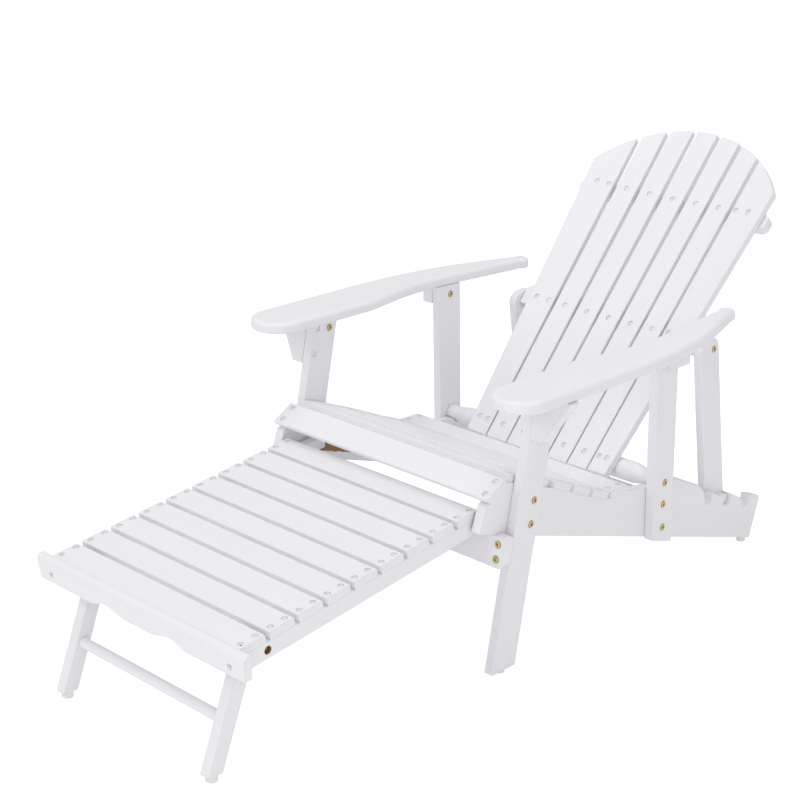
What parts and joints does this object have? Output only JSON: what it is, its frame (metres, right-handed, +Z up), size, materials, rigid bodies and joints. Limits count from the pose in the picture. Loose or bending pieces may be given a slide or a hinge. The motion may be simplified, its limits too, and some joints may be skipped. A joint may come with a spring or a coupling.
{
  "type": "adirondack chair with pull-out ottoman",
  "caption": "Slatted garden chair with a reclining fanned back, curved side rails, flat arms and a slatted foot rest on folding legs that slides in under the seat.",
  "frame": {"origin": "middle of the chair and its pulled-out foot rest, on the floor", "axes": "+Z up, +Y towards the rear of the chair, +X towards the sitter's left"},
  "size_m": [0.732, 1.5926, 0.8134],
  "materials": {
    "white_frame": "painted satin",
    "white_seat": "painted satin",
    "white_back": "painted satin",
    "white_ottoman": "painted satin",
    "white_rod": "painted satin",
    "raw_wood": "bare",
    "silver_screw": "polished",
    "gold_bolt": "zinc plated",
    "glide": "satin"
  },
  "bodies": {
    "frame": {"arm_cleats": "white_frame", "arm_corbel_left": "white_frame", "arm_corbel_right": "white_frame", "armrest_left": "white_frame", "armrest_right": "white_frame", "back_pivot_bolts": "gold_bolt", "chair_glides": "glide", "frame_bolts": "gold_bolt", "frame_screws": "silver_screw", "front_leg_left": "white_frame", "front_leg_right": "white_frame", "front_stretcher": "white_frame", "rear_post_left": "white_frame", "rear_post_right": "white_frame", "rear_stretcher": "white_frame", "seat_slat_1": "white_seat", "seat_slat_2": "white_seat", "seat_slat_3": "white_seat", "seat_slat_4": "white_seat", "seat_slat_5": "white_seat", "seat_slat_6": "white_seat", "seat_slat_7": "white_seat", "side_rail_left": "white_frame", "side_rail_right": "white_frame"},
    "backrest": {"back_screws": "silver_screw", "back_slat_1": "white_back", "back_slat_2": "white_back", "back_slat_3": "white_back", "back_slat_4": "white_back", "back_slat_5": "white_back", "back_slat_6": "white_back", "back_slat_7": "white_back", "lower_back_rod": "white_rod", "middle_back_rail": "white_back", "upper_back_rail": "white_back"},
    "ottoman": {"ottoman_apron": "white_ottoman", "ottoman_leg_bolts": "gold_bolt", "ottoman_rail_left": "white_ottoman", "ottoman_rail_right": "white_ottoman", "ottoman_screws": "silver_screw", "ottoman_slat_1": "white_ottoman", "ottoman_slat_2": "white_ottoman", "ottoman_slat_3": "white_ottoman", "ottoman_slat_4": "white_ottoman", "ottoman_slat_5": "white_ottoman", "ottoman_slat_6": "white_ottoman", "ottoman_slat_7": "white_ottoman", "ottoman_slat_8": "white_ottoman", "ottoman_slat_9": "white_ottoman"},
    "glide_rod": {"ottoman_glide_rod": "raw_wood"},
    "ottoman_legs": {"ottoman_glides": "glide", "ottoman_leg_left": "white_ottoman", "ottoman_leg_right": "white_ottoman", "ottoman_leg_rod": "white_rod"},
    "support": {"support_arm_left": "white_frame", "support_arm_right": "white_frame", "support_bolts": "gold_bolt", "support_rod": "white_rod"}
  },
  "joints": [
    {"name": "backrest_fold", "type": "hinge", "parent": "frame", "child": "backrest", "pos_m": [0, 0.29367, 0.238], "axis": [1, 0, 0], "range_deg": [0, 90]},
    {"name": "support_swing", "type": "hinge", "parent": "backrest", "child": "support", "pos_m": [0, 0.49167, 0.456], "axis": [1, 0, 0], "range_deg": [-31.5, 0]},
    {"name": "ottoman_tilt", "type": "hinge", "parent": "frame", "child": "glide_rod", "pos_m": [0, -0.17933, 0.269], "axis": [1, 0, 0], "range_deg": [-28.86, 0]},
    {"name": "ottoman_slide", "type": "slide", "parent": "glide_rod", "child": "ottoman", "axis": [0, 0.9922, 0.1248], "range_m": [0, 0.39]},
    {"name": "ottoman_leg_fold", "type": "hinge", "parent": "ottoman", "child": "ottoman_legs", "pos_m": [0, -0.70195, 0.22493], "axis": [1, 0, 0], "range_deg": [0, 117]}
  ],
  "couplings": [
    {"joint": "support_swing", "follows": "backrest_fold", "ratio": -0.35},
    {"joint": "ottoman_tilt", "follows": "ottoman_slide", "rad_per_m": -1.2915}
  ]
}
